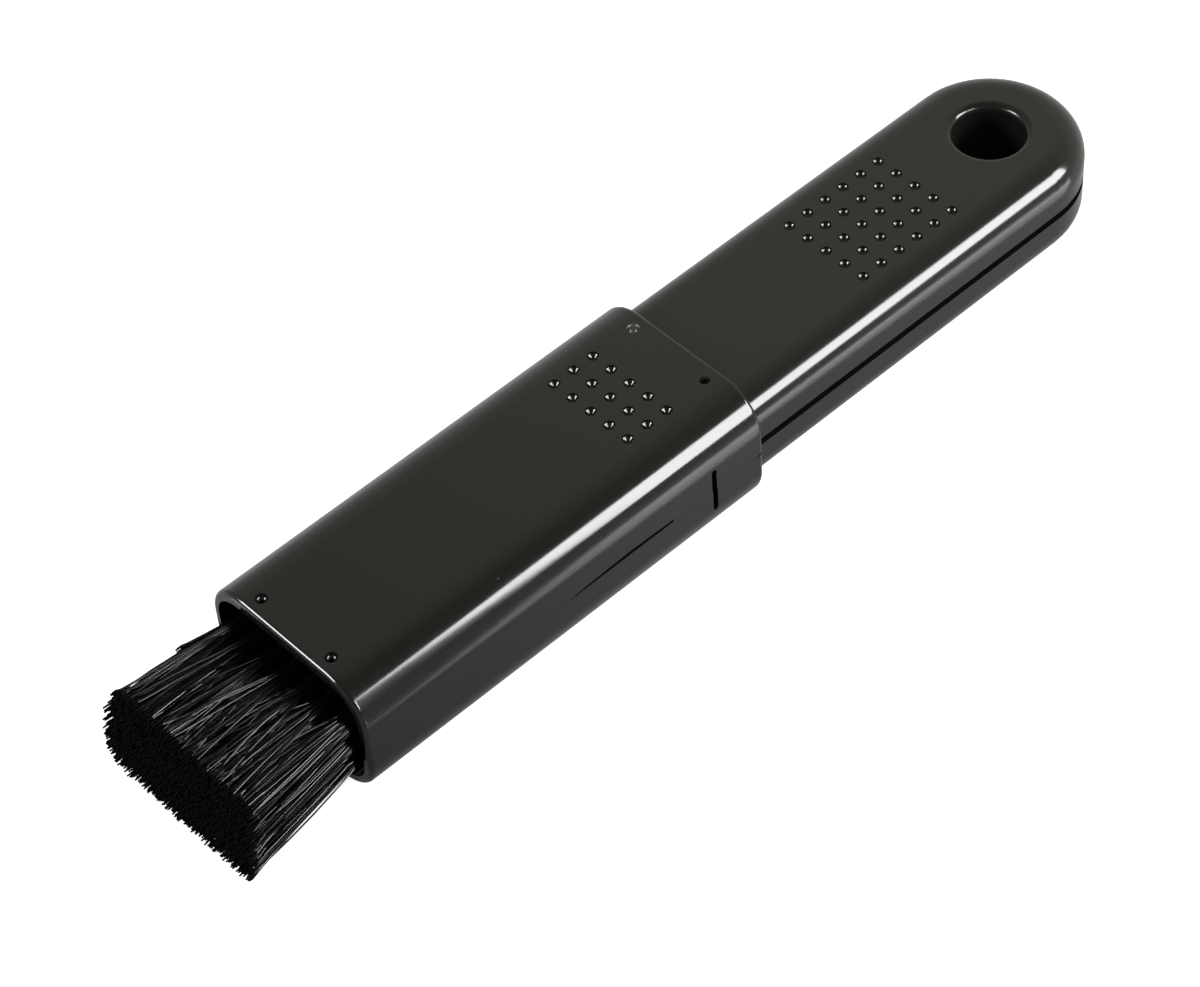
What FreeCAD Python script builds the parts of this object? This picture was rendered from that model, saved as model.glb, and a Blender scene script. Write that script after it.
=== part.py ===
"""Crevice brush: a flat two-shell handle, a sliding two-shell sleeve and a tufted brush head.

Millimetres. +X runs to the handle's rounded end, +Y to the far side, +Z up.
The origin lies under the middle of the brush, on the plane that the sleeve rests on.
"""
import FreeCAD, Part
import math
import os
from FreeCAD import Vector

# Handle
handle_width = 22.8
handle_thickness = 13.5
handle_corner = 3.8
handle_reach = 62.9
handle_side_wall = 1.6
handle_face_wall = 1.8
hole_from_end = 11.7
hole_radius = 4.35
hole_rim_round = 1.0
hole_tube_wall = 1.6
groove_height = 0.9
groove_edge_round = 0.25

# Skirt of the lower handle shell, which closes the groove from inside
skirt_wall = 1.0
skirt_lap = 1.5
skirt_clearance = 0.05

# Bosses and pegs that hold the handle shells together
boss_radius = 2.6
peg_radius = 1.4
peg_length = 3.0
peg_clearance = 0.05
socket_spare_depth = 0.4
rear_boss_from_end = 32.0
middle_boss_from_front = 55.0
tang_boss_spacing = 9.0

# Sleeve
sleeve_length = 59.9
sleeve_side_wall = 1.05
sleeve_face_wall = 1.5
sleeve_side_clearance = 0.3
sleeve_face_clearance = 0.5
sleeve_corner_wall = 1.6
sleeve_rim_round = 0.65
cover_margin = 2.3

# Seam between the sleeve halves
lap_height = 1.0
lap_thickness = 0.5
lap_clearance = 0.05
seam_bevel = 0.02
seam_gap_height = 0.6
seam_gap_front_height = 0.3
seam_gap_back_height = 0.4
seam_gap_front = 28.9
seam_gap_taper = 3.0
seam_gap_back = 45.6
seam_gap_peak = 38.8
seam_notch_length = 1.6
seam_notch_height = 0.4

# Guide tongues on the sleeve and the stops that end its travel
tongue_length = 6.0
tongue_height = 0.6
tongue_depth = 0.8
tongue_from_mouth = 35.5
stop_length = 3.0
stop_gap = 0.1
stop_rib_length = 2.0
stop_rib_from_mouth = 3.0
stop_rib_overlap = 0.85
stop_rib_width = 16.0

# Click slits in the sleeve's sides and click ribs on the handle's sides
slit_width = 0.75
slit_height = 6.7
slit_from_back = 7.8
slit_offset = 0.1
click_rib_radius = 0.45
click_rib_proud = 0.2
click_rib_height = 6.0

# Grip dimples and the marks near the sleeve's corners
dimple_pitch = 3.0
dimple_diameter = 1.45
dimple_lip_depth = 0.25
dimple_lip_slope = 70.0
dimple_slope = 47.0
dimple_rows_across = 5
handle_dimple_nose = 0.65
sleeve_dimple_nose = 0.45
handle_dimple_rows = 6
handle_dimples_from_hole = 12.95
sleeve_dimple_rows = 3
sleeve_dimples_from_back = 8.45
front_dot_diameter = 1.5
front_dot_depth = 0.7
front_pit_diameter = 0.8
front_pit_depth = 1.1
rear_pit_diameter = 1.3
rear_pit_depth = 0.7
pit_floor_diameter = 0.5
gate_diameter = 1.5
corner_mark_spread = 11.6
front_dots_from_mouth = 2.0
rear_marks_from_back = 2.3
gate_nub_diameter = 0.8
gate_groove_depth = 0.18

# Brush head
head_clearance = 0.05
head_block_length = 8.0
head_proud = 1.0
tang_length = 10.0
tang_width = 14.0
tang_thickness = 3.0

# Tufts and their anchors
tuft_root_radius = 1.15
tuft_hole_clearance = 0.05
tuft_hole_depth = 6.0
tuft_spacing = 0.4
head_edge_side = 0.5
head_edge_face = 0.85
tip_side_clearance = 0.5
tip_face_clearance = 0.55
tip_spacing = 0.2
tip_corner = 0.9
root_roundness = 0.9
tip_droop = 0.5
tip_slant = 0.22
bristle_reach = 17.7
anchor_thickness = 0.35
anchor_width = 1.5
anchor_from_bottom = 0.8

# Room beyond a face for a cut to pass right through it, and the slack within which two places are the same
through = 5.0
slack = 0.001

# Places worked out from the sizes above
overall_length = bristle_reach + sleeve_length + handle_reach
handle_end_x = overall_length / 2
tip_x = -overall_length / 2
mouth_x = tip_x + bristle_reach
back_x = mouth_x + sleeve_length
hole_x = handle_end_x - hole_from_end
sleeve_travel = bristle_reach + cover_margin

bore_half_width = handle_width / 2 + sleeve_side_clearance
bore_half_height = handle_thickness / 2 + sleeve_face_clearance
sleeve_half_width = bore_half_width + sleeve_side_wall
sleeve_half_height = bore_half_height + sleeve_face_wall
bore_corner = handle_corner + sleeve_side_clearance
sleeve_corner = bore_corner + sleeve_corner_wall
mid_z = sleeve_half_height

handle_front_x = mouth_x + stop_rib_from_mouth + stop_rib_length + stop_gap
upper_edge_z = mid_z + groove_height / 2
lower_edge_z = mid_z - groove_height / 2
cavity_half_height = handle_thickness / 2 - handle_face_wall
handle_top_z = mid_z + handle_thickness / 2
handle_bottom_z = mid_z - handle_thickness / 2
cavity_top_z = mid_z + cavity_half_height
cavity_bottom_z = mid_z - cavity_half_height

head_half_width = handle_width / 2 - handle_side_wall - head_clearance
head_half_height = cavity_half_height - head_clearance
head_front_x = handle_front_x - head_proud
head_back_x = handle_front_x + head_block_length - head_proud
tang_back_x = head_back_x + tang_length
tang_boss_x = head_back_x + tang_length / 2
tongue_front_x = mouth_x + tongue_from_mouth
groove_stop_x = tongue_front_x - sleeve_travel - stop_gap
slit_x = back_x - slit_from_back
click_rib_places = [slit_x, slit_x - sleeve_travel]

# Tufts fill the head's face, and their tips fill the space that the sleeve's bore and stop ribs leave
least_pitch = 2 * tuft_root_radius + tuft_spacing
root_span_y = 2 * (head_half_width - head_edge_side - tuft_root_radius)
root_span_z = 2 * (head_half_height - head_edge_face - tuft_root_radius)
tuft_columns = 1 + int(root_span_y / least_pitch + slack)
tuft_rows = 1 + int(root_span_z / least_pitch + slack)
root_pitch_y = root_span_y / max(tuft_columns - 1, 1)
root_pitch_z = root_span_z / max(tuft_rows - 1, 1)
stop_half_height = handle_thickness / 2 - stop_rib_overlap
tip_pitch_y = 2 * (bore_half_width - tip_side_clearance) / tuft_columns
tip_pitch_z = 2 * (stop_half_height - tip_droop - tip_face_clearance) / tuft_rows
tip_half_y = (tip_pitch_y - tip_spacing) / 2
tip_half_z = (tip_pitch_z - tip_spacing) / 2


def solid_box(low, high):
    """Box between two opposite corners."""
    size = high - low
    return Part.makeBox(size.x, size.y, size.z, low)


def cylinder_z(radius, x, y, low, high):
    """Upright cylinder between two heights."""
    return Part.makeCylinder(radius, high - low, Vector(x, y, low))


def rounded_bar(half_width, half_height, corner, x_low, x_high):
    """Bar along X with a rounded rectangular section, centred on the brush's mid-plane."""
    low = Vector(x_low, -half_width, mid_z - half_height)
    high = Vector(x_high, half_width, mid_z + half_height)
    bar = solid_box(low, high)
    long_edges = [edge for edge in bar.Edges if edge.BoundBox.XLength > x_high - x_low - slack]
    return bar.makeFillet(corner, long_edges)


def round_end_plate(half_width, x_front, x_end, low, high):
    """Plate with straight sides and a half-round end at x_end."""
    centre_x = x_end - half_width
    left_front = Vector(x_front, half_width, low)
    left_back = Vector(centre_x, half_width, low)
    right_back = Vector(centre_x, -half_width, low)
    right_front = Vector(x_front, -half_width, low)
    outline = Part.Wire([
        Part.makeLine(right_front, right_back),
        Part.Arc(right_back, Vector(x_end, 0, low), left_back).toShape(),
        Part.makeLine(left_back, left_front),
        Part.makeLine(left_front, right_front),
    ])
    return Part.Face(outline).extrude(Vector(0, 0, high - low))


def handle_form(inset_side, inset_face, x_front):
    """Handle's outer form drawn in by the given insets, with its long edges rounded."""
    low = handle_bottom_z + inset_face
    high = handle_top_z - inset_face
    plate = round_end_plate(handle_width / 2 - inset_side, x_front, handle_end_x - inset_side, low, high)
    rim_edges = []
    for edge in plate.Edges:
        box = edge.BoundBox
        if box.ZLength < slack and box.XMax > x_front + slack:
            rim_edges.append(edge)
    return plate.makeFillet(handle_corner - max(inset_side, inset_face), rim_edges)


def cone_along_z(x, y, start_radius, start_z, end_radius, end_z):
    """Cone along Z, up or down, with its own radius at each end."""
    axis = Vector(0, 0, math.copysign(1, end_z - start_z))
    return Part.makeCone(start_radius, end_radius, abs(end_z - start_z), Vector(x, y, start_z), axis)


def dimple_form(nose):
    """Blunt cone with a steep lip and a round nose, set under the origin, that a grip dimple is cut with."""
    slope = math.radians(dimple_slope)
    lip_slope = math.tan(math.radians(dimple_lip_slope))
    rim_radius = dimple_diameter / 2
    wall_radius = rim_radius - dimple_lip_depth / lip_slope
    nose_z = nose / math.cos(slope) - wall_radius * math.tan(slope) - dimple_lip_depth
    lowest = Vector(0, 0, nose_z - nose)
    on_nose = Vector(nose * math.sin(slope / 2), 0, nose_z - nose * math.cos(slope / 2))
    wall_foot = Vector(nose * math.sin(slope), 0, nose_z - nose * math.cos(slope))
    lip_foot = Vector(wall_radius, 0, -dimple_lip_depth)
    lip_head = Vector(rim_radius + dimple_lip_depth / lip_slope, 0, dimple_lip_depth)
    above = Vector(0, 0, dimple_lip_depth)
    profile = Part.Wire([
        Part.Arc(lowest, on_nose, wall_foot).toShape(),
        Part.makeLine(wall_foot, lip_foot),
        Part.makeLine(lip_foot, lip_head),
        Part.makeLine(lip_head, above),
        Part.makeLine(above, lowest),
    ])
    return Part.Face(profile).revolve(Vector(0, 0, 0), Vector(0, 0, 1), 360)


def pit_cutter(x, y, face_z, outward, diameter, depth):
    """Cone that leaves a pit with a small flat floor in a flat face."""
    return cone_along_z(x, y, pit_floor_diameter / 2, face_z - outward * depth, diameter / 2, face_z)


def dot_cutter(x, y, face_z, outward):
    """Ball that leaves a round dot in a flat face, with a pit at its middle."""
    rim_radius = front_dot_diameter / 2
    ball_radius = (rim_radius ** 2 + front_dot_depth ** 2) / (2 * front_dot_depth)
    ball = Part.makeSphere(ball_radius, Vector(x, y, face_z + outward * (ball_radius - front_dot_depth)))
    return ball.fuse(pit_cutter(x, y, face_z, outward, front_pit_diameter, front_pit_depth))


def gate_cutter(x, y, face_z, outward):
    """V-shaped ring that leaves the round nub of the moulding gate standing in a flat face."""
    nub_radius = gate_nub_diameter / 2
    rim_radius = gate_diameter / 2
    valley_radius = (nub_radius + rim_radius) / 2
    valley_z = face_z - outward * gate_groove_depth
    outside = cone_along_z(x, y, valley_radius, valley_z, rim_radius, face_z)
    return outside.cut(cone_along_z(x, y, valley_radius, valley_z, nub_radius, face_z))


def dimple_grid(first_x, rows_along, face_z, outward, nose):
    """Dimples in a square grid that starts at first_x and runs towards the bristles."""
    form = dimple_form(nose)
    if outward < 0:
        form.rotate(Vector(0, 0, 0), Vector(1, 0, 0), 180)
    cutters = []
    for row in range(rows_along):
        for column in range(dimple_rows_across):
            y = (column - (dimple_rows_across - 1) / 2) * dimple_pitch
            cutters.append(form.translated(Vector(first_x - row * dimple_pitch, y, face_z)))
    return cutters


def handle_dimples(face_z, outward):
    """Grip dimples in one face of the handle."""
    first_x = hole_x - handle_dimples_from_hole
    return dimple_grid(first_x, handle_dimple_rows, face_z, outward, handle_dimple_nose)


def sleeve_dimples(face_z, outward):
    """Grip dimples in one face of the sleeve."""
    first_x = back_x - sleeve_dimples_from_back
    return dimple_grid(first_x, sleeve_dimple_rows, face_z, outward, sleeve_dimple_nose)


def half_space(low, high):
    """Slab between two heights, larger than the brush."""
    reach = overall_length
    return solid_box(Vector(-reach, -reach, low), Vector(reach, reach, high))


def click_ribs(low, high):
    """Half-round click ribs on both sides of the handle, between two heights."""
    ribs = []
    for x in click_rib_places:
        for side in (-1, 1):
            y = side * (handle_width / 2 - click_rib_radius + click_rib_proud)
            ribs.append(cylinder_z(click_rib_radius, x, y, low, high))
    return ribs


def boss_places():
    """Each boss as x, y and the half gap that it leaves at the mid-plane."""
    places = [
        (handle_end_x - rear_boss_from_end, 0.0, 0.0),
        (handle_front_x + middle_boss_from_front, 0.0, 0.0),
    ]
    for side in (-1, 1):
        places.append((tang_boss_x, side * tang_boss_spacing / 2, tang_thickness / 2))
    return places


def hanging_hole():
    """Bore of the hanging hole with both rims rounded."""
    bore = cylinder_z(hole_radius, hole_x, 0, handle_bottom_z - through, handle_top_z + through)
    for face_z, inward in ((handle_top_z, -1), (handle_bottom_z, 1)):
        ring_z = face_z + inward * hole_rim_round
        rim_radius = hole_radius + hole_rim_round
        flare = cylinder_z(rim_radius, hole_x, 0, min(face_z, ring_z), max(face_z, ring_z))
        ring = Part.makeTorus(rim_radius, hole_rim_round, Vector(hole_x, 0, ring_z))
        bore = bore.fuse(flare.cut(ring))
    return bore


def handle_half(low, high):
    """Hollow part of the handle between two heights, before its inner fittings."""
    outer = handle_form(0.0, 0.0, handle_front_x)
    cavity = handle_form(handle_side_wall, handle_face_wall, handle_front_x - through)
    return outer.cut(cavity).common(half_space(low, high))


def rounded_groove_edge(shell):
    """Upper shell with the outer edge that overlooks the groove rounded."""
    outer_edges = []
    for edge in shell.Edges:
        box = edge.BoundBox
        at_groove = box.ZLength < slack and abs(box.ZMax - upper_edge_z) < slack
        outside = max(box.YMax, -box.YMin) > handle_width / 2 - slack
        if at_groove and outside and box.XLength > slack:
            outer_edges.append(edge)
    return shell.makeFillet(groove_edge_round, outer_edges)


def handle_upper_shell():
    """Top half of the handle, with sockets for the pegs."""
    shell = rounded_groove_edge(handle_half(upper_edge_z, handle_top_z + through))
    fittings = [cylinder_z(hole_radius + hole_tube_wall, hole_x, 0, mid_z, cavity_top_z)]
    sockets = []
    for x, y, half_gap in boss_places():
        seat_z = mid_z + half_gap
        fittings.append(cylinder_z(boss_radius, x, y, seat_z, cavity_top_z))
        socket_depth = peg_length - 2 * half_gap + socket_spare_depth
        sockets.append(cylinder_z(peg_radius + peg_clearance, x, y, seat_z, seat_z + socket_depth))
    fittings += click_ribs(upper_edge_z, mid_z + click_rib_height / 2)
    cuts = sockets + handle_dimples(handle_top_z, 1) + [hanging_hole()]
    return shell.multiFuse(fittings).cut(cuts).removeSplitter()


def skirt():
    """Wall inside the groove that closes it and locates the upper shell."""
    inset = handle_side_wall + skirt_clearance
    low = lower_edge_z - skirt_lap
    high = upper_edge_z + skirt_lap
    half = handle_width / 2
    front = head_back_x + head_clearance
    outer = round_end_plate(half - inset, front, handle_end_x - inset, low, high)
    root_end_x = handle_end_x - handle_side_wall
    root = round_end_plate(half - handle_side_wall, front, root_end_x, low, lower_edge_z)
    inner_inset = inset + skirt_wall
    inner = round_end_plate(half - inner_inset, front - through, handle_end_x - inner_inset, low, high)
    return outer.fuse(root).cut(inner)


def groove_stops():
    """Blocks in the groove that end the sleeve's forward travel."""
    blocks = []
    for side in (-1, 1):
        inner_y = side * (handle_width / 2 - handle_side_wall)
        outer_y = side * handle_width / 2
        low = Vector(groove_stop_x - stop_length, min(inner_y, outer_y), lower_edge_z)
        high = Vector(groove_stop_x, max(inner_y, outer_y), upper_edge_z)
        blocks.append(solid_box(low, high))
    return blocks


def handle_lower_shell():
    """Bottom half of the handle, with the skirt, the pegs and the groove's stops."""
    shell = handle_half(handle_bottom_z - through, lower_edge_z)
    fittings = [skirt()] + groove_stops()
    fittings.append(cylinder_z(hole_radius + hole_tube_wall, hole_x, 0, cavity_bottom_z, mid_z))
    for x, y, half_gap in boss_places():
        seat_z = mid_z - half_gap
        fittings.append(cylinder_z(boss_radius, x, y, cavity_bottom_z, seat_z))
        fittings.append(cylinder_z(peg_radius, x, y, seat_z, seat_z + peg_length))
    fittings += click_ribs(mid_z - click_rib_height / 2, lower_edge_z)
    cuts = handle_dimples(handle_bottom_z, -1) + [hanging_hole()]
    return shell.multiFuse(fittings).cut(cuts).removeSplitter()


def sleeve_tube():
    """Whole sleeve wall with rounded rims, before it is parted."""
    outer = rounded_bar(sleeve_half_width, sleeve_half_height, sleeve_corner, mouth_x, back_x)
    rims = []
    for edge in outer.Edges:
        if edge.BoundBox.XLength < slack:
            rims.append(edge)
    outer = outer.makeFillet(sleeve_rim_round, rims)
    bore = rounded_bar(bore_half_width, bore_half_height, bore_corner, mouth_x - through, back_x + through)
    return outer.cut(bore)


def side_boxes(x_low, x_high, y_inner, y_outer, low, high):
    """Pair of boxes, one on each side of the brush."""
    near = solid_box(Vector(x_low, -y_outer, low), Vector(x_high, -y_inner, high))
    far = solid_box(Vector(x_low, y_inner, low), Vector(x_high, y_outer, high))
    return [near, far]


def prism(corners, run):
    """Prism from a flat polygon along a straight run."""
    return Part.Face(Part.makePolygon(corners + corners[:1])).extrude(run)


def seam_bevels():
    """Fine bevel along the upper half's outer seam edges, for the full length of the sleeve."""
    cutters = []
    for side in (-1, 1):
        y = side * sleeve_half_width
        corners = [
            Vector(mouth_x - through, y - side * seam_bevel, mid_z),
            Vector(mouth_x - through, y, mid_z + seam_bevel),
            Vector(mouth_x - through, y, mid_z),
        ]
        cutters.append(prism(corners, Vector(sleeve_length + 2 * through, 0, 0)))
    return cutters


def seam_gaps():
    """Two stretches of the near seam that stand slightly open, one of them at the back rim."""
    y = -sleeve_half_width - through
    depth = Vector(0, through + sleeve_side_wall - lap_thickness, 0)
    long_gap = [
        Vector(mouth_x + seam_gap_front, y, mid_z),
        Vector(mouth_x + seam_gap_back, y, mid_z),
        Vector(mouth_x + seam_gap_back, y, mid_z + seam_gap_back_height),
        Vector(mouth_x + seam_gap_peak, y, mid_z + seam_gap_height),
        Vector(mouth_x + seam_gap_front + seam_gap_taper, y, mid_z + seam_gap_front_height),
    ]
    notch = [
        Vector(back_x - seam_notch_length, y, mid_z),
        Vector(back_x, y, mid_z),
        Vector(back_x, y, mid_z + seam_notch_height),
    ]
    return [prism(long_gap, depth), prism(notch, depth)]


def sleeve_slits(shift):
    """Click slits with round ends through both side walls."""
    x = slit_x + shift
    end_radius = slit_width / 2
    low = mid_z - slit_height / 2 + end_radius
    high = mid_z + slit_height / 2 - end_radius
    inner_y = handle_width / 2
    outer_y = sleeve_half_width + through
    slits = []
    for box in side_boxes(x - end_radius, x + end_radius, inner_y, outer_y, low, high):
        depth = outer_y - inner_y
        ends = []
        for z in (low, high):
            end_place = Vector(x, box.BoundBox.YMin, z)
            ends.append(Part.makeCylinder(end_radius, depth, end_place, Vector(0, 1, 0)))
        slits.append(box.multiFuse(ends))
    return slits


def corner_marks(face_z, outward):
    """Marks near the sleeve's four corners: two dots, a pit and the moulding gate, a ring round a nub."""
    front = mouth_x + front_dots_from_mouth
    back = back_x - rear_marks_from_back
    y = corner_mark_spread / 2
    return [
        dot_cutter(front, -y, face_z, outward),
        dot_cutter(front, y, face_z, outward),
        pit_cutter(back, -y, face_z, outward, rear_pit_diameter, rear_pit_depth),
        gate_cutter(back, y, face_z, outward),
    ]


def stop_rib(inner_z, wall_z):
    """Rib inside the mouth that meets the handle's front edge when the sleeve is fully back."""
    x = mouth_x + stop_rib_from_mouth
    low = Vector(x, -stop_rib_width / 2, min(inner_z, wall_z))
    high = Vector(x + stop_rib_length, stop_rib_width / 2, max(inner_z, wall_z))
    return solid_box(low, high)


def guide_tongues():
    """Tongues on the sleeve's inner sides that ride in the handle's groove."""
    inner_y = handle_width / 2 - tongue_depth
    outer_y = bore_half_width + lap_thickness / 2
    low = mid_z - tongue_height / 2
    high = mid_z + tongue_height / 2
    return side_boxes(tongue_front_x, tongue_front_x + tongue_length, inner_y, outer_y, low, high)


def sleeve_upper_shell():
    """Top half of the sleeve, rebated inside for the lower half's lap."""
    shell = sleeve_tube().common(half_space(mid_z, mid_z + sleeve_half_height + through))
    rib = stop_rib(mid_z + stop_half_height, mid_z + bore_half_height)
    lap_outer = bore_half_width + lap_thickness + lap_clearance
    rebate_top = mid_z + lap_height + lap_clearance
    cuts = side_boxes(mouth_x - through, back_x + through, 0.0, lap_outer, mid_z - through, rebate_top)
    cuts += sleeve_slits(-slit_offset / 2)
    cuts += seam_bevels() + seam_gaps()
    top_z = mid_z + sleeve_half_height
    cuts += sleeve_dimples(top_z, 1) + corner_marks(top_z, 1)
    return shell.fuse(rib).cut(cuts).removeSplitter()


def sleeve_lower_shell():
    """Bottom half of the sleeve, with the lap and the guide tongues."""
    shell = sleeve_tube().common(half_space(mid_z - sleeve_half_height - through, mid_z))
    rib = stop_rib(mid_z - stop_half_height, mid_z - bore_half_height)
    lap_outer = bore_half_width + lap_thickness
    lap_low = mid_z - lap_height
    lap_x_low = mouth_x + sleeve_rim_round
    lap_x_high = back_x - sleeve_rim_round
    laps = side_boxes(lap_x_low, lap_x_high, bore_half_width, lap_outer, lap_low, mid_z + lap_height)
    cuts = sleeve_slits(slit_offset / 2)
    bottom_z = mid_z - sleeve_half_height
    cuts += sleeve_dimples(bottom_z, -1) + corner_marks(bottom_z, -1)
    return shell.multiFuse([rib] + laps + guide_tongues()).cut(cuts).removeSplitter()


def tuft_grid():
    """Each tuft as row, column, root centre and tip centre."""
    places = []
    for row in range(tuft_rows):
        row_step = (tuft_rows - 1) / 2 - row
        for column in range(tuft_columns):
            column_step = column - (tuft_columns - 1) / 2
            root = Vector(head_front_x, column_step * root_pitch_y, mid_z + row_step * root_pitch_z)
            tip_above_lowest = (row_step + (tuft_rows - 1) / 2) * tip_pitch_z + tip_half_z
            tip = Vector(
                tip_x + tip_above_lowest * tip_slant,
                column_step * tip_pitch_y,
                mid_z - tip_droop + row_step * tip_pitch_z,
            )
            places.append((row + 1, column + 1, root, tip))
    return places


def hole_cylinder(root, radius, depth):
    """Cylinder from the head's front face into the head."""
    return Part.makeCylinder(radius, depth, root, Vector(1, 0, 0))


def brush_head():
    """Block that holds the tufts, with a tang that the handle's pegs pass through."""
    corner = handle_corner - handle_side_wall
    block = rounded_bar(head_half_width, head_half_height, corner, head_front_x, head_back_x)
    tang_low = Vector(head_back_x, -tang_width / 2, mid_z - tang_thickness / 2)
    tang_high = Vector(tang_back_x, tang_width / 2, mid_z + tang_thickness / 2)
    cuts = []
    for side in (-1, 1):
        y = side * tang_boss_spacing / 2
        cuts.append(cylinder_z(peg_radius + peg_clearance, tang_boss_x, y, tang_low.z, tang_high.z))
    for row, column, root, tip in tuft_grid():
        cuts.append(hole_cylinder(root, tuft_root_radius + tuft_hole_clearance, tuft_hole_depth))
    return block.fuse(solid_box(tang_low, tang_high)).cut(cuts).removeSplitter()


def anchor(root):
    """Flat wire that pins a tuft's fold near the bottom of its hole."""
    x_high = root.x + tuft_hole_depth - anchor_from_bottom
    low = Vector(x_high - anchor_width, root.y - tuft_root_radius, root.z - anchor_thickness / 2)
    high = Vector(x_high, root.y + tuft_root_radius, root.z + anchor_thickness / 2)
    return solid_box(low, high)


def tuft_ring(centre, half_y, half_z, corner, slant):
    """Rounded rectangle across X that leans back by slant, as four corner arcs and straight sides."""
    edges = []
    for turn in range(4):
        side_y, side_z = ((1, 1), (-1, 1), (-1, -1), (1, -1))[turn]
        bend = []
        for step in (0, 45, 90):
            angle = math.radians(90 * turn + step)
            y = side_y * (half_y - corner) + corner * math.cos(angle)
            z = side_z * (half_z - corner) + corner * math.sin(angle)
            bend.append(centre + Vector(z * slant, y, z))
        if edges:
            edges.append(Part.makeLine(edges[-1].valueAt(edges[-1].LastParameter), bend[0]))
        edges.append(Part.Arc(*bend).toShape())
    last = edges[-1]
    edges.append(Part.makeLine(last.valueAt(last.LastParameter), edges[0].valueAt(edges[0].FirstParameter)))
    return Part.Wire(edges)


def tuft(root, tip):
    """One tuft: a round root in its hole that spreads to fill its own cell of the tip face."""
    nearly_round = tuft_root_radius * root_roundness
    root_ring = tuft_ring(root, tuft_root_radius, tuft_root_radius, nearly_round, 0.0)
    tip_ring = tuft_ring(tip, tip_half_y, tip_half_z, tip_corner, tip_slant)
    spread = Part.makeLoft([root_ring, tip_ring], True, True)
    stem = hole_cylinder(root, tuft_root_radius, tuft_hole_depth)
    return stem.fuse(spread).cut(anchor(root))


def build_nodes():
    """Every piece by its node name."""
    nodes = {
        "handle_upper_shell": handle_upper_shell(),
        "handle_lower_shell": handle_lower_shell(),
        "sleeve_upper_shell": sleeve_upper_shell(),
        "sleeve_lower_shell": sleeve_lower_shell(),
        "brush_head": brush_head(),
    }
    anchors = []
    for row, column, root, tip in tuft_grid():
        nodes["tuft_%d_%d" % (row, column)] = tuft(root, tip)
        anchors.append(anchor(root))
    nodes["tuft_anchors"] = Part.makeCompound(anchors)
    return nodes


os.makedirs("parts", exist_ok=True)
for name, shape in build_nodes().items():
    print(name, "solids", len(shape.Solids), "volume %.2f" % shape.Volume, "valid", shape.isValid())
    shape.exportStep(os.path.join("parts", name + ".step"))
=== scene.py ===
import math

import bpy
import numpy as np
from mathutils import Matrix, Vector


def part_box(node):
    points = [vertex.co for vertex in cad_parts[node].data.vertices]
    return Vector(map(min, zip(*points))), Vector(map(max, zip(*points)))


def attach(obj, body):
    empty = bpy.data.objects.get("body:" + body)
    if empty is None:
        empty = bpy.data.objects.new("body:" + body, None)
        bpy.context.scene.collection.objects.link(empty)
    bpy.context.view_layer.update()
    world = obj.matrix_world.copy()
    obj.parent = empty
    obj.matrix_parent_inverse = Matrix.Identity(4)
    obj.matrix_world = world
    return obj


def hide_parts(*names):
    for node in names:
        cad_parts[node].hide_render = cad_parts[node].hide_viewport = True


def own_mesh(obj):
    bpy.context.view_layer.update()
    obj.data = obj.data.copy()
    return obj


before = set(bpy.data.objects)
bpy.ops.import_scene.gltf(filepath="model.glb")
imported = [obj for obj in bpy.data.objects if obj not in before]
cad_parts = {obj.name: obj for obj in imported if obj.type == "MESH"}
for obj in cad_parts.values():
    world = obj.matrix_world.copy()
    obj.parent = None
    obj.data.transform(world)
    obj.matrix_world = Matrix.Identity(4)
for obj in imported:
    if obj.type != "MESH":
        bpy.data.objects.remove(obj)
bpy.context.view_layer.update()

# Camera of the photograph: place in metres, angles in degrees, picture in pixels, sensor in millimetres and
# the nearest distance seen
CAMERA_PLACE = Vector((-0.18717, -0.21418, 0.32285))
CAMERA_HEADING = -40.12
CAMERA_TILT = 41.22
CAMERA_ROLL = -4.43
PHOTO_WIDTH = 1200
FOCAL_PIXELS = 3696.8
SENSOR_WIDTH = 36.0
NEAREST_SEEN = 0.01

# Filaments, in metres, with the shares of their free length at which they are drawn, the share that the
# short ones reach, and the dome at a tip in shares of the radius
FILAMENT_RADIUS = 0.000115
FILAMENTS_PER_TUFT = 132
FILAMENT_SIDES = 6
FILAMENT_SHARES = (0.0, 0.22, 0.44, 0.66, 0.86, 1.0)
CUT_LENGTH = (0.00015, 0.0008)
ROOT_START = 0.0006
TIP_RING_DEPTH = 0.00075
TIP_JITTER = 0.00008
LENGTH_SPREAD = 0.00022
BEND_SPREAD = 0.00025
CROSSING = (0.0022, 0.0008)
SEAT_CROSSING = 0.0007
SHORT_COUNT = 26
SHORT_END = 0.42
SHORT_VARIATION = (0.85, 1.0)
DOME_HEIGHT = 0.5
DOME_WIDTH = 0.55

# Slack in finding a solid's points on a section
SECTION_SLACK = 0.00001

# Bundle of all filaments: at the sleeve's mouth its growth and shift across and the dip of its top, which
# deepens to the far side, and at the tips its growth, shift and round corners
MOUTH_GROWTH = 1.17
MOUTH_SHIFT = -0.0003
MOUTH_DIP = 0.0004
MOUTH_TILT = 0.05
BUNDLE_GROWTH = (0.0016, 0.0004)
BUNDLE_SHIFT = (-0.0004, -0.00035)
NEAR_CORNERS = (0.001, 0.003)
FAR_CORNERS = (0.003, 0.003)
FAR_CURVE = 0.15
SHORT_CURVE = 0.8
SHORT_SPLAY = 0.0008

# Places of a filament mesh's two finishes
DRAWN_SIDE = 0
CUT_END = 1

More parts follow.
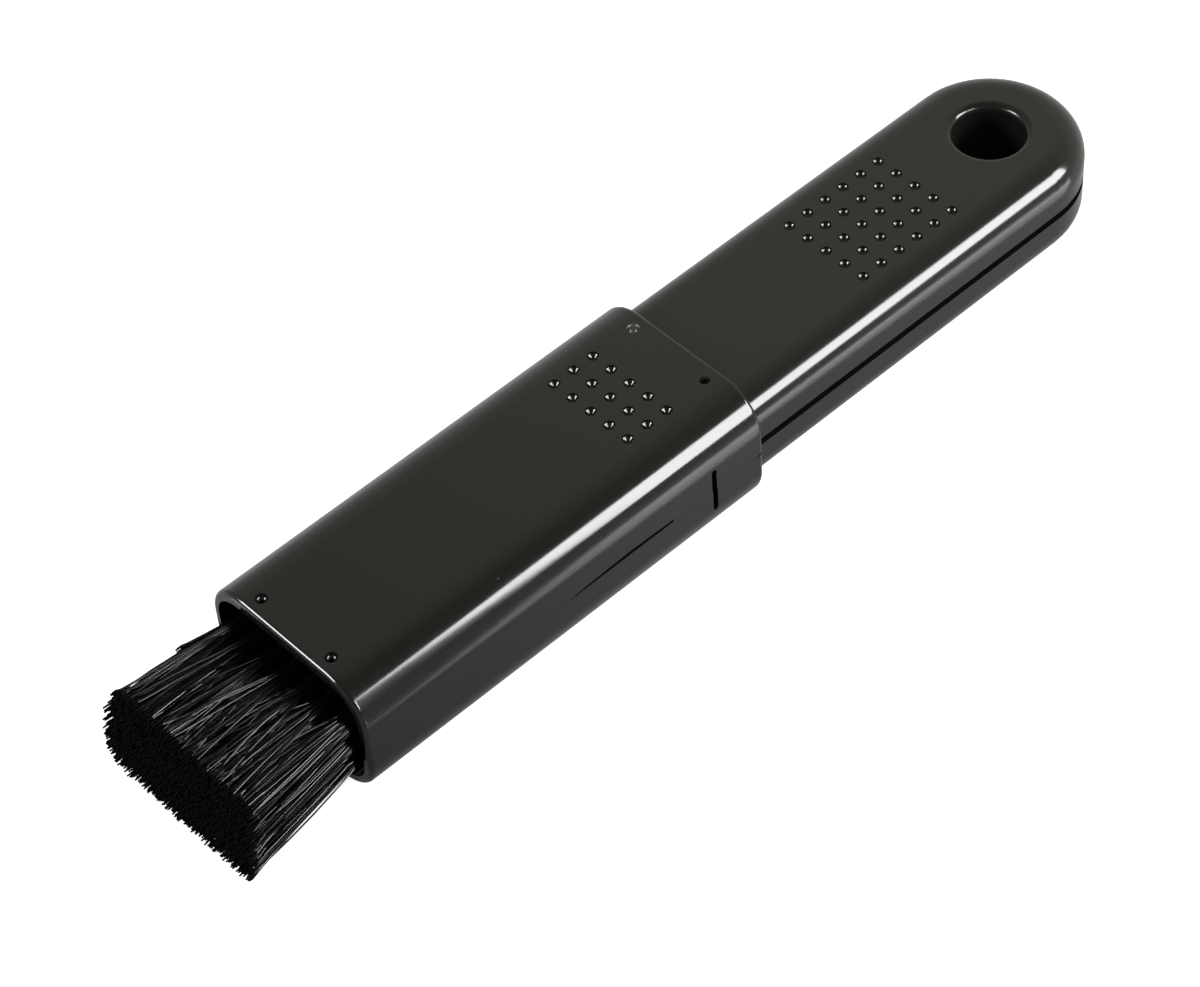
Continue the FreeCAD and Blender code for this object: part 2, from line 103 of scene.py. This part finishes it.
# Brightness of the room by height along its tilted axis, from the floor's side to the ceiling
CEILING_AXIS = (-0.2, -0.5, 0.84)
WALL_WHITE = (1.0, 0.995, 0.98)
CEILING_WHITE = (1.0, 0.985, 0.9)
ROOM_LEVELS = (
    (-0.40, 0.76, WALL_WHITE),
    (-0.20, 0.68, WALL_WHITE),
    (0.00, 0.62, CEILING_WHITE),
    (0.22, 0.65, CEILING_WHITE),
    (0.31, 0.56, CEILING_WHITE),
    (0.42, 0.56, WALL_WHITE),
    (0.55, 0.50, CEILING_WHITE),
    (0.72, 0.40, CEILING_WHITE),
    (0.80, 0.22, CEILING_WHITE),
)

# Room's strength by how far a direction points along +X, dim towards the brush's front: two places on that
# scale, and the strength at each
FRONT_DIMMING = (0.33, 0.46, 0.68, 1.0)

# Floor: its half size, two places along a slanted direction and the tone at each, darker before the brush's
# front and near side as painted shade where the lamps' light falls off, its gloss, the glow that makes it
# white, and the part of that glow seen in mirrors
FLOOR_HALF = 3.0
FLOOR_SHADE_DIRECTION = (1.0, 1.6, 0.0)
FLOOR_PAINTED_SHADE = (-0.08, -0.03, 0.23, 0.47)
FLOOR_ROUGHNESS = 0.16
FLOOR_IOR = 1.5
FLOOR_GLOW = 0.85
MIRRORED_GLOW = 0.06

# Lamps: name, place, target, width, height and brightness
LAMPS = (
    ("near_box", (1.19, -1.504, 0.875), (0.005, 0.004, 0.0), 0.98, 0.85, 20.5),
    ("far_strip", (-0.62, 0.34, 0.41), (-0.02, 0.0, 0.0), 0.4, 0.26, 24.0),
    ("bristle_box", (0.212, -1.41, 0.7), (-0.06, 0.0, 0.0), 0.32, 0.56, 22.0),
)

# Colours of the finishes
MOULDING_BLACK = (0.0046, 0.0046, 0.0039, 1.0)
DUST_GREY = (0.3, 0.3, 0.29, 1.0)
STRAND_DARK = (0.001, 0.001, 0.001, 1.0)
STRAND_LIGHT = (0.0022, 0.0022, 0.002, 1.0)
CUT_BLACK = (0.0024, 0.0024, 0.0024, 1.0)
HEAD_BLACK = (0.012, 0.012, 0.012, 1.0)
WIRE_STEEL = (0.55, 0.54, 0.5, 1.0)

# Middle part of a noise's values, which the roughness of the finishes follows
NOISE_RANGE = (0.3, 0.7)

# Polished mouldings: their gloss, and the scale and detail of the noises for the flow in it, for the
# hairlines along the brush and for the faint waves of the skin
MOULDING_IOR = 1.5
MOULDING_SHEEN = 0.5
FLOW_NOISE = (55.0, 4.0)
HAIRLINE_NOISE = (90.0, 2.0)
HAIRLINE_STRETCH = (0.35, 60.0, 60.0)
HAIRLINE_DRAW = (0.62, 0.78)
SKIN_NOISE = (420.0, 2.0)
SKIN_STRENGTH = 0.02
SKIN_DEPTH = 0.00012
HANDLE_ROUGHNESS = (0.11, 0.16)
HANDLE_HAIRLINES = 0.1
SLEEVE_ROUGHNESS = (0.09, 0.14)
SLEEVE_HAIRLINES = 0.06

# Dull spots, which are the hanging hole's wall and the torn ring of the moulding gate: upright axis and
# reach, the width over which they fade, their roughness, and the sheen of each, which is painted shade in the
# hole's wall and a painted highlight on the gate's ring
HOLE_SPOT = (0.05855, 0.0, 0.0045)
GATE_SPOT = (0.00505, 0.0058, 0.0008)
SPOT_FADE = 0.0001
SPOT_ROUGHNESS = 0.5
# Low sheen in the hanging hole's wall: painted shade in the hole
HOLE_SHADE_SHEEN = 0.05
# Raised sheen on the gate's torn ring: a painted highlight on the ring
GATE_HIGHLIGHT_SHEEN = 0.8

# Dust on the mouldings: cells per metre, the distances between which a speck fades, the draws above which
# a cell holds one, and its strength
DUST_CELLS = 330.0
DUST_EDGE = (0.03, 0.06)
DUST_DRAW = (0.972, 0.974)
DUST_STRENGTH = 0.1

# Strands: refraction, roughness of the first and last by draw, two draws and the sheen at each, and cut ends
STRAND_IOR = 1.53
STRAND_ROUGHNESS = (0.18, 0.1)
STRAND_SHEEN = (0.25, 1.0, 0.04, 0.7)
# Almost no sheen on the cut ends and the filaments' last rings: painted shade at the bundle's end
CUT_SHADE_SHEEN = 0.03
CUT_NOISE = (5000.0, 1.0)
CUT_ROUGHNESS = (0.6, 0.9)

# Brush head and anchor wire: scale and detail of their noises, roughness, grain and stretch of drawn lines
HEAD_NOISE = (900.0, 3.0)
HEAD_ROUGHNESS = (0.42, 0.58)
GRAIN_STRENGTH = 0.15
GRAIN_DEPTH = 0.0001
WIRE_NOISE = (2500.0, 2.0)
WIRE_STRETCH = (1.0, 0.05, 1.0)
WIRE_ROUGHNESS = (0.25, 0.45)

# Seed of every random draw
SEED = 7

TUFT_NODES = sorted(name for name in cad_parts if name.startswith("tuft_") and name != "tuft_anchors")


def node_tree(name):
    """New node material, the tree to add to, and its surface shader."""
    material = bpy.data.materials.new(name)
    material.use_nodes = True
    tree = material.node_tree
    return material, tree, tree.nodes["Principled BSDF"]


def add_node(tree, kind, **settings):
    """Shader node of the given kind with its properties and input values set."""
    node = tree.nodes.new(kind)
    for key, value in settings.items():
        if key in node.inputs:
            node.inputs[key].default_value = value
        else:
            setattr(node, key, value)
    return node


def mapped_noise(tree, scale, detail, stretch=(1.0, 1.0, 1.0)):
    """Noise over the object's own metres, stretched along its axes."""
    place = add_node(tree, "ShaderNodeTexCoord")
    mapping = add_node(tree, "ShaderNodeMapping")
    mapping.inputs["Scale"].default_value = stretch
    noise = add_node(tree, "ShaderNodeTexNoise", Scale=scale, Detail=detail)
    tree.links.new(place.outputs["Object"], mapping.inputs["Vector"])
    tree.links.new(mapping.outputs["Vector"], noise.inputs["Vector"])
    return noise


def remap(tree, source, low, high, to_low, to_high):
    """Range of one output mapped to another range, held at its ends."""
    node = add_node(tree, "ShaderNodeMapRange")
    node.inputs["From Min"].default_value = low
    node.inputs["From Max"].default_value = high
    node.inputs["To Min"].default_value = to_low
    node.inputs["To Max"].default_value = to_high
    tree.links.new(source, node.inputs["Value"])
    return node.outputs["Result"]


def spot_share(tree, spot):
    """1 within reach of an upright axis, 0 beyond it."""
    x, y, reach = spot
    place = add_node(tree, "ShaderNodeTexCoord")
    mapping = add_node(tree, "ShaderNodeMapping")
    mapping.inputs["Location"].default_value = (-x, -y, 0.0)
    mapping.inputs["Scale"].default_value = (1.0, 1.0, 0.0)
    tree.links.new(place.outputs["Object"], mapping.inputs["Vector"])
    away = add_node(tree, "ShaderNodeVectorMath", operation="LENGTH")
    tree.links.new(mapping.outputs["Vector"], away.inputs[0])
    return remap(tree, away.outputs["Value"], reach, reach + SPOT_FADE, 1.0, 0.0)


def dusty_black(tree):
    """Colour of the black moulding with sparse specks of dust."""
    place = add_node(tree, "ShaderNodeTexCoord")
    cells = add_node(tree, "ShaderNodeTexVoronoi", Scale=DUST_CELLS, Randomness=1.0)
    tree.links.new(place.outputs["Object"], cells.inputs["Vector"])
    keep = add_node(tree, "ShaderNodeSeparateColor")
    tree.links.new(cells.outputs["Color"], keep.inputs["Color"])
    dot = remap(tree, cells.outputs["Distance"], *DUST_EDGE, 1.0, 0.0)
    chosen = remap(tree, keep.outputs["Red"], *DUST_DRAW, 0.0, DUST_STRENGTH)
    dust = add_node(tree, "ShaderNodeMath", operation="MULTIPLY")
    tree.links.new(dot, dust.inputs[0])
    tree.links.new(chosen, dust.inputs[1])
    tint = add_node(tree, "ShaderNodeMix", data_type="RGBA")
    tint.inputs["A"].default_value = MOULDING_BLACK
    tint.inputs["B"].default_value = DUST_GREY
    tree.links.new(dust.outputs["Value"], tint.inputs["Factor"])
    return tint.outputs["Result"]


def gloss_black(name, gloss_range, hairline_share, dull_spot, painted_spot_sheen):
    """Polished black moulding: faint flow in the gloss, fine hairlines, sparse dust and one dull spot with
    its own sheen, which is painted shade in the hanging hole's wall and a painted highlight on the gate's
    ring.
    """
    material, tree, shader = node_tree(name)
    shader.inputs["IOR"].default_value = MOULDING_IOR
    cloud = mapped_noise(tree, *FLOW_NOISE)
    hairs = mapped_noise(tree, *HAIRLINE_NOISE, stretch=HAIRLINE_STRETCH)
    gloss = remap(tree, cloud.outputs["Fac"], *NOISE_RANGE, *gloss_range)
    hair_gloss = remap(tree, hairs.outputs["Fac"], *HAIRLINE_DRAW, 0.0, hairline_share)
    rough = add_node(tree, "ShaderNodeMath", operation="ADD")
    tree.links.new(gloss, rough.inputs[0])
    tree.links.new(hair_gloss, rough.inputs[1])
    dull = spot_share(tree, dull_spot)
    rougher = add_node(tree, "ShaderNodeMix", data_type="FLOAT")
    rougher.inputs["B"].default_value = SPOT_ROUGHNESS
    tree.links.new(dull, rougher.inputs["Factor"])
    tree.links.new(rough.outputs["Value"], rougher.inputs["A"])
    tree.links.new(rougher.outputs["Result"], shader.inputs["Roughness"])
    # Sheen of the spot: painted shade in the hanging hole's wall, a painted highlight on the gate's ring
    sheen = remap(tree, dull, 0.0, 1.0, MOULDING_SHEEN, painted_spot_sheen)
    tree.links.new(sheen, shader.inputs["Specular IOR Level"])
    tree.links.new(dusty_black(tree), shader.inputs["Base Color"])
    skin = mapped_noise(tree, *SKIN_NOISE)
    bump = add_node(tree, "ShaderNodeBump", Strength=SKIN_STRENGTH, Distance=SKIN_DEPTH)
    tree.links.new(skin.outputs["Fac"], bump.inputs["Height"])
    tree.links.new(bump.outputs["Normal"], shader.inputs["Normal"])
    return material


def bristle_black():
    """Black nylon filament: each strand has its own shade and gloss."""
    material, tree, shader = node_tree("bristle_nylon")
    shader.inputs["IOR"].default_value = STRAND_IOR
    strand = add_node(tree, "ShaderNodeNewGeometry")
    gloss = remap(tree, strand.outputs["Random Per Island"], 0.0, 1.0, *STRAND_ROUGHNESS)
    tree.links.new(gloss, shader.inputs["Roughness"])
    sheen = remap(tree, strand.outputs["Random Per Island"], *STRAND_SHEEN)
    tree.links.new(sheen, shader.inputs["Specular IOR Level"])
    tint = add_node(tree, "ShaderNodeMix", data_type="RGBA")
    tint.inputs["A"].default_value = STRAND_DARK
    tint.inputs["B"].default_value = STRAND_LIGHT
    tree.links.new(strand.outputs["Random Per Island"], tint.inputs["Factor"])
    tree.links.new(tint.outputs["Result"], shader.inputs["Base Color"])
    return material


def bristle_cut():
    """Cut end of a filament and its last rings: rough, without its side's sheen, which paints shade over the
    bundle's end.
    """
    material, tree, shader = node_tree("bristle_cut_end")
    shader.inputs["Specular IOR Level"].default_value = CUT_SHADE_SHEEN
    grain = mapped_noise(tree, *CUT_NOISE)
    rough = remap(tree, grain.outputs["Fac"], *NOISE_RANGE, *CUT_ROUGHNESS)
    tree.links.new(rough, shader.inputs["Roughness"])
    shader.inputs["Base Color"].default_value = CUT_BLACK
    return material


def matte_black():
    """Plain black moulding of the brush head."""
    material, tree, shader = node_tree("head_plastic")
    grain = mapped_noise(tree, *HEAD_NOISE)
    rough = remap(tree, grain.outputs["Fac"], *NOISE_RANGE, *HEAD_ROUGHNESS)
    tree.links.new(rough, shader.inputs["Roughness"])
    shader.inputs["Base Color"].default_value = HEAD_BLACK
    bump = add_node(tree, "ShaderNodeBump", Strength=GRAIN_STRENGTH, Distance=GRAIN_DEPTH)
    tree.links.new(grain.outputs["Fac"], bump.inputs["Height"])
    tree.links.new(bump.outputs["Normal"], shader.inputs["Normal"])
    return material


def drawn_wire():
    """Drawn flat steel wire of the tuft anchors."""
    material, tree, shader = node_tree("anchor_wire")
    lines = mapped_noise(tree, *WIRE_NOISE, stretch=WIRE_STRETCH)
    rough = remap(tree, lines.outputs["Fac"], *NOISE_RANGE, *WIRE_ROUGHNESS)
    tree.links.new(rough, shader.inputs["Roughness"])
    shader.inputs["Base Color"].default_value = WIRE_STEEL
    shader.inputs["Metallic"].default_value = 1.0
    return material


def paint(node, material):
    """Give one of the frame's nodes a single finish."""
    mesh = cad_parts[node].data
    mesh.materials.clear()
    mesh.materials.append(material)


def tuft_points(node):
    """Corner points of a tuft's solid."""
    return np.array([vertex.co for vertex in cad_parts[node].data.vertices])


def root_ring(points, x):
    """Points of a tuft solid on its section at x."""
    return points[np.abs(points[:, 0] - x) < SECTION_SLACK]


def tip_ring(points):
    """Points of a tuft solid on its slanted end."""
    return points[points[:, 0] < points[:, 0].min() + TIP_RING_DEPTH]


def middle_and_half(points):
    """Centre and half sizes of the box round some points."""
    low = points.min(axis=0)
    high = points.max(axis=0)
    return (low + high) / 2, (high - low) / 2


def even_points(count, half):
    """Points spread evenly over the rounded rectangle that the bundle's tips fill, about its middle."""
    plastic_number = 1.32471795724
    steps = np.array([1.0 / plastic_number, 1.0 / plastic_number ** 2])
    index = np.arange(2 * count) + 0.5
    places = (np.mod(index[:, None] * steps, 1.0) * 2.0 - 1.0) * half
    far, high = (places > 0.0).astype(int).T
    corner = np.array([NEAR_CORNERS, FAR_CORNERS])[far, high]
    beyond = np.maximum(np.abs(places) - (half - corner[:, None]), 0.0)
    inside = np.linalg.norm(beyond, axis=1) < corner
    return places[inside][:count]


def disc_points(count):
    """Points spread evenly over a unit disc, as a sunflower's seeds."""
    index = np.arange(count) + 0.5
    radius = np.sqrt(index / count)
    angle = index * math.pi * (3.0 - math.sqrt(5.0))
    return np.stack([radius * np.cos(angle), radius * np.sin(angle)], axis=1)


def sliced(first, second, slices):
    """Points' numbers in equal slices by their first place, each slice sorted by the second."""
    order = np.argsort(first)
    return [part[np.argsort(second[part])] for part in np.array_split(order, slices)]


def bundle_tips(draws):
    """Every filament's tip on the slanted end of the bundle, and its place across that end."""
    rings = [tip_ring(tuft_points(node)) for node in TUFT_NODES]
    centre, half = middle_and_half(np.concatenate(rings))
    ring_half = middle_and_half(rings[0])[1]
    slant = ring_half[0] / ring_half[2]
    face_half = half[1:] + np.array(BUNDLE_GROWTH)
    count = FILAMENTS_PER_TUFT * len(TUFT_NODES)
    places = even_points(count, face_half) + draws.normal(0.0, TIP_JITTER, (count, 2))
    tips = np.zeros((count, 3))
    tips[:, 0] = centre[0] - half[0] + slant * (places[:, 1] + face_half[1])
    tips[:, 0] += np.abs(draws.normal(0.0, LENGTH_SPREAD, count))
    tips[:, 1:] = centre[1:] + np.array(BUNDLE_SHIFT) + places
    return tips, places / face_half


def seats_for(node, tips, draws):
    """Roots of a tuft's filaments in its hole, matched to their tips by height and, more loosely, across."""
    head_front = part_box("brush_head")[0].x
    centre, half = middle_and_half(root_ring(tuft_points(node), head_front))
    count = len(tips)
    seats = np.full((count, 3), head_front + ROOT_START)
    seats[:, 1:] = centre[1:] + disc_points(count) * (half[1:] - FILAMENT_RADIUS)
    matched = np.zeros((count, 3))
    layers = round(math.sqrt(count))
    loose = tips[:, 1] + draws.normal(0.0, SEAT_CROSSING, count)
    seat_order = np.concatenate(sliced(seats[:, 2], seats[:, 1], layers))
    tip_order = np.concatenate(sliced(tips[:, 2], loose, layers))
    matched[tip_order] = seats[seat_order]
    return matched


def filament_lines(node, tips, places, short_count, draws):
    """Centre lines of a tuft's filaments, from inside the head through the sleeve's mouth to their tips."""
    count = len(tips)
    roots = seats_for(node, tips, draws)
    head_low, head_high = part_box("brush_head")
    height = (roots[:, 2] - head_low.z) / (head_high.z - head_low.z)
    mouth = np.full((count, 3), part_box("sleeve_upper_shell")[0].x)
    mouth[:, 1] = roots[:, 1] * MOUTH_GROWTH + MOUTH_SHIFT
    mouth[:, 2] = roots[:, 2] - height * (MOUTH_DIP + MOUTH_TILT * mouth[:, 1])
    reach = np.ones(count)
    curve = 1.0 + FAR_CURVE * np.clip(places[:, 0], 0.0, 1.0) ** 3
    short = np.argsort(roots[:, 1] + tips[:, 1])[count - short_count:]
    reach[short] = SHORT_END * draws.uniform(*SHORT_VARIATION, short_count)
    curve[short] = SHORT_CURVE
    ends = tips.copy()
    ends[short, 1] += SHORT_SPLAY
    share = reach[:, None] * np.array(FILAMENT_SHARES)
    swerve = share ** curve[:, None]
    along = np.stack([share, swerve, share], axis=2)
    bend = draws.normal(0.0, BEND_SPREAD, (count, 1, 3)) * np.array([0.0, 1.0, 1.0])
    free = mouth[:, None, :] + (ends - mouth)[:, None, :] * along
    free += bend * np.sin(math.pi * share)[:, :, None]
    cut = free[:, -1:] + draws.uniform(*CUT_LENGTH, (count, 1, 1)) * np.array([1.0, 0.0, 0.0])
    return np.concatenate([roots[:, None, :], free[:, :-1], cut, free[:, -1:]], axis=1)


def tube_points(lines):
    """Rings of points round the given centre lines, each narrowed to a small dome at its tip."""
    stations = lines.shape[1]
    heading = lines[:, -1] - lines[:, 0]
    heading /= np.linalg.norm(heading, axis=1, keepdims=True)
    side = np.cross(heading, np.array([0.0, 0.0, 1.0]))
    side /= np.linalg.norm(side, axis=1, keepdims=True)
    up = np.cross(side, heading)
    dome = lines[:, -1:] + heading[:, None, :] * FILAMENT_RADIUS * DOME_HEIGHT
    centres = np.concatenate([lines, dome], axis=1)
    radius = np.full(stations + 1, FILAMENT_RADIUS)
    radius[-1] *= DOME_WIDTH
    angle = np.arange(FILAMENT_SIDES) * 2.0 * math.pi / FILAMENT_SIDES
    across = side[:, None, :] * np.cos(angle)[None, :, None]
    ring = across + up[:, None, :] * np.sin(angle)[None, :, None]
    return centres[:, :, None, :] + ring[:, None, :, :] * radius[None, :, None, None]


def tube_faces(count, rings):
    """Faces along the sides of filaments, ring by ring, and those that close both ends."""
    base = (np.arange(count) * rings * FILAMENT_SIDES)[:, None, None]
    level = (np.arange(rings - 1) * FILAMENT_SIDES)[None, :, None]
    here = np.arange(FILAMENT_SIDES)[None, None, :]
    following = (here + 1) % FILAMENT_SIDES
    start = base + level
    ahead = start + FILAMENT_SIDES
    corners = [start + here, start + following, ahead + following, ahead + here]
    sides = np.stack(corners, axis=-1).reshape(-1, 4)
    last = base[:, 0, :] + (rings - 1) * FILAMENT_SIDES + here[0]
    first = base[:, 0, :] + here[0, :, ::-1]
    return sides.tolist(), last.tolist() + first.tolist()


def tube_mesh(name, lines):
    """One mesh of round filaments along the given centre lines, with their own finish at the cut ends."""
    points = tube_points(lines)
    count, rings = points.shape[:2]
    sides, ends = tube_faces(count, rings)
    mesh = bpy.data.meshes.new(name)
    mesh.from_pydata(points.reshape(-1, 3).tolist(), [], sides + ends)
    mesh.polygons.foreach_set("use_smooth", [True] * len(sides) + [False] * len(ends))
    side_finish = np.full((count, rings - 1, FILAMENT_SIDES), DRAWN_SIDE)
    # The last rings of each side take the cut end's finish, whose missing sheen paints shade at the bundle's
    # end
    side_finish[:, -2:, :] = CUT_END
    finish = side_finish.ravel().tolist() + [CUT_END] * len(ends)
    mesh.polygons.foreach_set("material_index", finish)
    mesh.update()
    return mesh


def add_tuft(node, lines, drawn, cut):
    """Real filaments in place of one tuft's solid."""
    mesh = tube_mesh("bristles_" + node, lines)
    mesh.materials.append(drawn)
    mesh.materials.append(cut)
    piece = bpy.data.objects.new("bristles_" + node, mesh)
    bpy.context.scene.collection.objects.link(piece)
    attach(piece, "handle")
    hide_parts(node)
    low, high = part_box("brush_head")
    middle = (low + high) / 2
    outward = Vector(tip_ring(tuft_points(node)).mean(axis=0)) - middle
    outward.x = 0.0
    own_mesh(piece)


def add_bristles(drawn, cut):
    """Filaments of every tuft, whose tips fill the bundle's end evenly and lie loosely before their tufts."""
    draws = np.random.default_rng(SEED)
    tips, places = bundle_tips(draws)
    loose = tips[:, 1:] + draws.normal(0.0, 1.0, places.shape) * np.array(CROSSING)
    columns = max(int(node.split("_")[2]) for node in TUFT_NODES)
    rows = len(TUFT_NODES) // columns
    for column, members in enumerate(sliced(loose[:, 0], loose[:, 1], columns), start=1):
        for row, own in zip(range(rows, 0, -1), np.array_split(members, rows)):
            node = "tuft_%d_%d" % (row, column)
            short_count = SHORT_COUNT if (row, column) == (1, columns) else 0
            lines = filament_lines(node, tips[own], places[own], short_count, draws)
            add_tuft(node, lines, drawn, cut)


def dress_nodes():
    """Finishes of the shells, the brush head and the anchors."""
    # The handle's spot sheen paints shade into the hanging hole's wall
    handle = gloss_black("handle_plastic", HANDLE_ROUGHNESS, HANDLE_HAIRLINES, HOLE_SPOT, HOLE_SHADE_SHEEN)
    # The sleeve's spot sheen paints a highlight onto the gate's ring
    sleeve = gloss_black("sleeve_plastic", SLEEVE_ROUGHNESS, SLEEVE_HAIRLINES, GATE_SPOT, GATE_HIGHLIGHT_SHEEN)
    for node in ("handle_upper_shell", "handle_lower_shell"):
        paint(node, handle)
    for node in ("sleeve_upper_shell", "sleeve_lower_shell"):
        paint(node, sleeve)
    paint("brush_head", matte_black())
    paint("tuft_anchors", drawn_wire())


def background_share(tree):
    """Share of the background's glow that a ray shows: whole straight or through glass, less in mirrors."""
    light = add_node(tree, "ShaderNodeLightPath")
    mirrored = add_node(tree, "ShaderNodeMath", operation="MULTIPLY")
    mirrored.inputs[1].default_value = MIRRORED_GLOW
    tree.links.new(light.outputs["Is Glossy Ray"], mirrored.inputs[0])
    share = light.outputs["Is Camera Ray"]
    for other in (light.outputs["Is Transmission Ray"], mirrored.outputs["Value"]):
        either = add_node(tree, "ShaderNodeMath", operation="MAXIMUM")
        tree.links.new(share, either.inputs[0])
        tree.links.new(other, either.inputs[1])
        share = either.outputs["Value"]
    return share


def add_world():
    """White room that dims towards the front and towards a dark ceiling, tilted a little to the near side."""
    world = bpy.data.worlds.new("studio")
    bpy.context.scene.world = world
    world.use_nodes = True
    tree = world.node_tree
    tree.nodes.clear()
    output = add_node(tree, "ShaderNodeOutputWorld")
    room = add_node(tree, "ShaderNodeBackground")
    place = add_node(tree, "ShaderNodeTexCoord")
    axes = add_node(tree, "ShaderNodeSeparateXYZ")
    tree.links.new(place.outputs["Generated"], axes.inputs["Vector"])
    tree.links.new(remap(tree, axes.outputs["X"], *FRONT_DIMMING), room.inputs["Strength"])
    height = add_node(tree, "ShaderNodeVectorMath", operation="DOT_PRODUCT")
    height.inputs[1].default_value = CEILING_AXIS
    tree.links.new(place.outputs["Generated"], height.inputs[0])
    ramp = add_node(tree, "ShaderNodeValToRGB")
    while len(ramp.color_ramp.elements) < len(ROOM_LEVELS):
        ramp.color_ramp.elements.new(1.0)
    for element, (place_up, level, white) in zip(ramp.color_ramp.elements, ROOM_LEVELS):
        element.position = (place_up + 1.0) / 2.0
        element.color = (*(level * tone for tone in white), 1.0)
    share = remap(tree, height.outputs["Value"], -1.0, 1.0, 0.0, 1.0)
    tree.links.new(share, ramp.inputs["Fac"])
    tree.links.new(ramp.outputs["Color"], room.inputs["Color"])
    tree.links.new(room.outputs["Background"], output.inputs["Surface"])


def add_floor():
    """White glossy table under the brush: it takes the shadow, mirrors the lamps and reads white, with
    painted shade darkening its colour before the brush's front and near side.
    """
    mesh = bpy.data.meshes.new("floor")
    half = FLOOR_HALF
    corners = [(-half, -half, 0.0), (half, -half, 0.0), (half, half, 0.0), (-half, half, 0.0)]
    mesh.from_pydata(corners, [], [(0, 1, 2, 3)])
    floor = bpy.data.objects.new("floor", mesh)
    bpy.context.scene.collection.objects.link(floor)
    material, tree, shader = node_tree("floor_white")
    place = add_node(tree, "ShaderNodeTexCoord")
    slanted = add_node(tree, "ShaderNodeVectorMath", operation="DOT_PRODUCT")
    slanted.inputs[1].default_value = FLOOR_SHADE_DIRECTION
    tree.links.new(place.outputs["Object"], slanted.inputs[0])
    # Painted shade: the floor's colour darkens before the brush's front and near side, where the lamps' light
    # falls off
    tree.links.new(remap(tree, slanted.outputs["Value"], *FLOOR_PAINTED_SHADE), shader.inputs["Base Color"])
    shader.inputs["Roughness"].default_value = FLOOR_ROUGHNESS
    shader.inputs["IOR"].default_value = FLOOR_IOR
    shader.inputs["Emission Color"].default_value = (1.0, 1.0, 1.0, 1.0)
    glow = add_node(tree, "ShaderNodeMath", operation="MULTIPLY")
    glow.inputs[1].default_value = FLOOR_GLOW
    tree.links.new(background_share(tree), glow.inputs[0])
    tree.links.new(glow.outputs["Value"], shader.inputs["Emission Strength"])
    mesh.materials.append(material)


def add_softbox(name, place, target, width, height, radiance):
    """Rectangular soft light that faces its target, with the given brightness."""
    light = bpy.data.lights.new(name, "AREA")
    light.shape = "RECTANGLE"
    light.size = width
    light.size_y = height
    light.energy = radiance * math.pi * width * height
    lamp = bpy.data.objects.new(name, light)
    bpy.context.scene.collection.objects.link(lamp)
    lamp.location = place
    aim = Vector(target) - Vector(place)
    lamp.rotation_euler = aim.to_track_quat("-Z", "Y").to_euler()


def add_lights():
    """Soft lamps, mirrored along the near edges, on the far rims and dimples, and in the bristles."""
    for lamp in LAMPS:
        add_softbox(*lamp)


def add_camera():
    """Camera at the photograph's place, with its lens and tilt."""
    camera = bpy.data.cameras.new("photo_camera")
    camera.sensor_fit = "HORIZONTAL"
    camera.sensor_width = SENSOR_WIDTH
    camera.lens = SENSOR_WIDTH * FOCAL_PIXELS / PHOTO_WIDTH
    camera.clip_start = NEAREST_SEEN
    seat = bpy.data.objects.new("photo_camera", camera)
    bpy.context.scene.collection.objects.link(seat)
    turn = Matrix.Rotation(math.radians(CAMERA_HEADING), 4, "Z")
    turn = turn @ Matrix.Rotation(math.radians(CAMERA_TILT), 4, "X")
    turn = turn @ Matrix.Rotation(math.radians(CAMERA_ROLL), 4, "Z")
    seat.matrix_world = Matrix.Translation(CAMERA_PLACE) @ turn
    bpy.context.scene.camera = seat


dress_nodes()
add_bristles(bristle_black(), bristle_cut())
add_world()
add_floor()
add_lights()
add_camera()
bpy.context.scene.view_settings.view_transform = "Standard"
